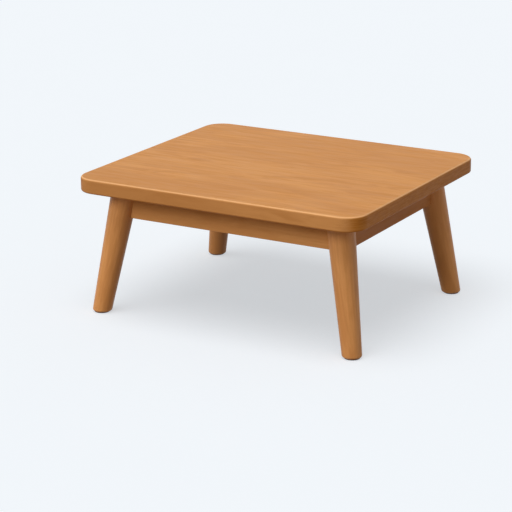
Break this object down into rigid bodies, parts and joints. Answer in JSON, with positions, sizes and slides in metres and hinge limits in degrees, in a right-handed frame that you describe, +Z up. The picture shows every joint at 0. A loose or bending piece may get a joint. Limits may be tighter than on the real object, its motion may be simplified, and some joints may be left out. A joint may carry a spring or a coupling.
{
  "type": "kotatsu table",
  "caption": "Low rectangular heated table: round-cornered lift-off wooden top on aprons and splayed tapered legs, with an electric fan heater under the top.",
  "frame": {"origin": "on the floor, below the middle of the tabletop", "axes": "+X along the table's length, +Y from the front to the back, +Z up"},
  "size_m": [0.8, 0.7, 0.365],
  "materials": {
    "top_wood": "satin, straight grain",
    "frame_wood": "satin, straight grain",
    "rail_wood": "bare, planed",
    "pad_rubber": "matt",
    "glide_felt": "felt",
    "zinc_steel": "zinc plated",
    "case_steel": "plated sheet",
    "guard_paint": "matt black",
    "bright_aluminium": "bright",
    "quartz": "milky quartz",
    "resistance_wire": "oxidised",
    "holder_ceramic": "unglazed",
    "motor_steel": "plated",
    "fan_plastic": "matt",
    "inlet_plastic": "moulded",
    "lead_sleeve": "silicone sleeve",
    "contact_brass": "nickelled"
  },
  "bodies": {
    "frame": {"front_apron": "frame_wood", "back_apron": "frame_wood", "left_apron": "frame_wood", "right_apron": "frame_wood", "leg_front_left": "frame_wood", "leg_front_right": "frame_wood", "leg_back_left": "frame_wood", "leg_back_right": "frame_wood", "heater_rail_left": "rail_wood", "heater_rail_right": "rail_wood", "cross_rail_front": "rail_wood", "cross_rail_back": "rail_wood", "rail_dowels": "rail_wood", "tabletop_pads": "pad_rubber", "foot_glide_front_left": "glide_felt", "foot_glide_front_right": "glide_felt", "foot_glide_back_left": "glide_felt", "foot_glide_back_right": "glide_felt", "corner_bracket_front_left": "zinc_steel", "corner_bracket_front_right": "zinc_steel", "corner_bracket_back_left": "zinc_steel", "corner_bracket_back_right": "zinc_steel", "hanger_bolts": "zinc_steel", "bolt_washers": "zinc_steel", "bolt_nuts": "zinc_steel", "bracket_screws": "zinc_steel", "mounting_lugs": "zinc_steel", "mounting_screws": "zinc_steel", "holder_screws": "zinc_steel", "motor_screws": "zinc_steel", "bridge_screws": "zinc_steel", "motor_bridge": "zinc_steel", "heater_case": "case_steel", "guard_frame": "guard_paint", "guard_wires": "guard_paint", "guard_cross_wires": "guard_paint", "guard_screws": "guard_paint", "reflector": "bright_aluminium", "quartz_tube_front": "quartz", "quartz_tube_back": "quartz", "heating_coil_front": "resistance_wire", "heating_coil_back": "resistance_wire", "tube_holder_front_left": "holder_ceramic", "tube_holder_front_right": "holder_ceramic", "tube_holder_back_left": "holder_ceramic", "tube_holder_back_right": "holder_ceramic", "fan_motor": "motor_steel", "thermostat": "bright_aluminium", "thermal_fuse": "holder_ceramic", "terminal_block": "holder_ceramic", "inlet_housing": "inlet_plastic", "inlet_pins": "contact_brass", "heater_leads": "lead_sleeve"},
    "tabletop": {"tabletop": "top_wood"},
    "heater_fan": {"fan_impeller": "fan_plastic", "motor_shaft": "zinc_steel"}
  },
  "joints": [
    {"name": "tabletop_lift", "type": "slide", "parent": "frame", "child": "tabletop", "axis": [0, 0, 1], "range_m": [0, 0.15]},
    {"name": "fan_spin", "type": "hinge", "parent": "frame", "child": "heater_fan", "pos_m": [0, 0, 0.285], "axis": [0, 0, 1], "continuous": true}
  ]
}
